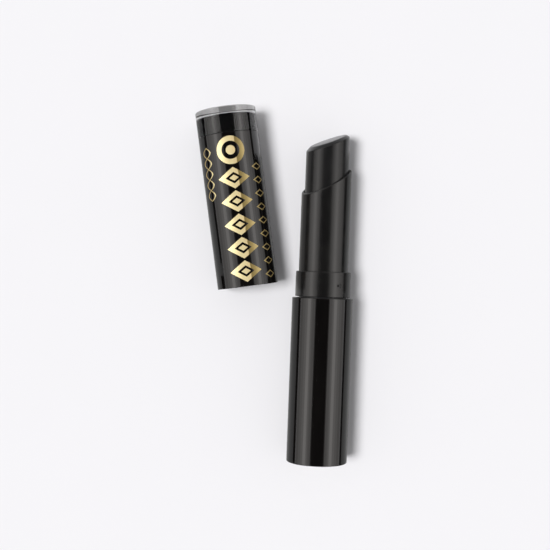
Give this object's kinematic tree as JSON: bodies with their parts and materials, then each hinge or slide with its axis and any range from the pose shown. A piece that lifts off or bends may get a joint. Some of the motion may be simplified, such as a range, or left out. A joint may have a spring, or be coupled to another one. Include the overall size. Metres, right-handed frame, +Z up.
{
  "type": "twist-up lipstick case",
  "caption": "Slim black twist-up lipstick with a slanted nose, lying open with its bullet raised and its clear-ended cap taken off beside it.",
  "frame": {"origin": "on the table, under the middle of the box round the open case and the cap beside it", "axes": "+Z up from the table, +Y along the case from its foot to its mouth, +X away from the cap"},
  "size_m": [0.0408, 0.0876, 0.015],
  "materials": {
    "gloss_black": "polished injection-moulded black plastic",
    "matt_black": "plain moulded black plastic",
    "shade_black": "glossy pure black plastic that shows the shade",
    "natural_plastic": "uncoloured acetal",
    "grey_plastic": "grey polypropylene",
    "silicone": "soft silicone",
    "label": "blank printed film",
    "lipstick_wax": "satin black wax, smooth from the mould",
    "clear_plastic": "clear polished styrene",
    "gold_foil": "hot-stamped gold foil"
  },
  "bodies": {
    "base": {"base_shell": "gloss_black", "foot_label": "label", "spiral_sleeve": "natural_plastic"},
    "nose": {"collar": "gloss_black", "nose_tube": "gloss_black", "guide_tube": "matt_black", "brake_ring": "silicone", "retaining_ring": "natural_plastic"},
    "carrier": {"carrier_cup": "grey_plastic", "lipstick_bullet": "lipstick_wax"},
    "cap": {"cap_tube": "gloss_black", "cap_shade_insert": "shade_black", "cap_clear_end": "clear_plastic"}
  },
  "joints": [
    {"name": "twist", "type": "hinge", "parent": "base", "child": "nose", "pos_m": [0.01286, 0, 0.0075], "axis": [0, 1, 0], "range_deg": [-360, 270]},
    {"name": "bullet_rise", "type": "slide", "parent": "nose", "child": "carrier", "axis": [0, 1, 0], "range_m": [-0.012, 0.009]},
    {"name": "cap_pull", "type": "slide", "parent": "base", "child": "cap", "axis": [-0.165, 0.9863, 0], "range_m": [0, 0.034]}
  ],
  "couplings": [
    {"joint": "bullet_rise", "follows": "twist", "m_per_rad": 0.0019099}
  ]
}
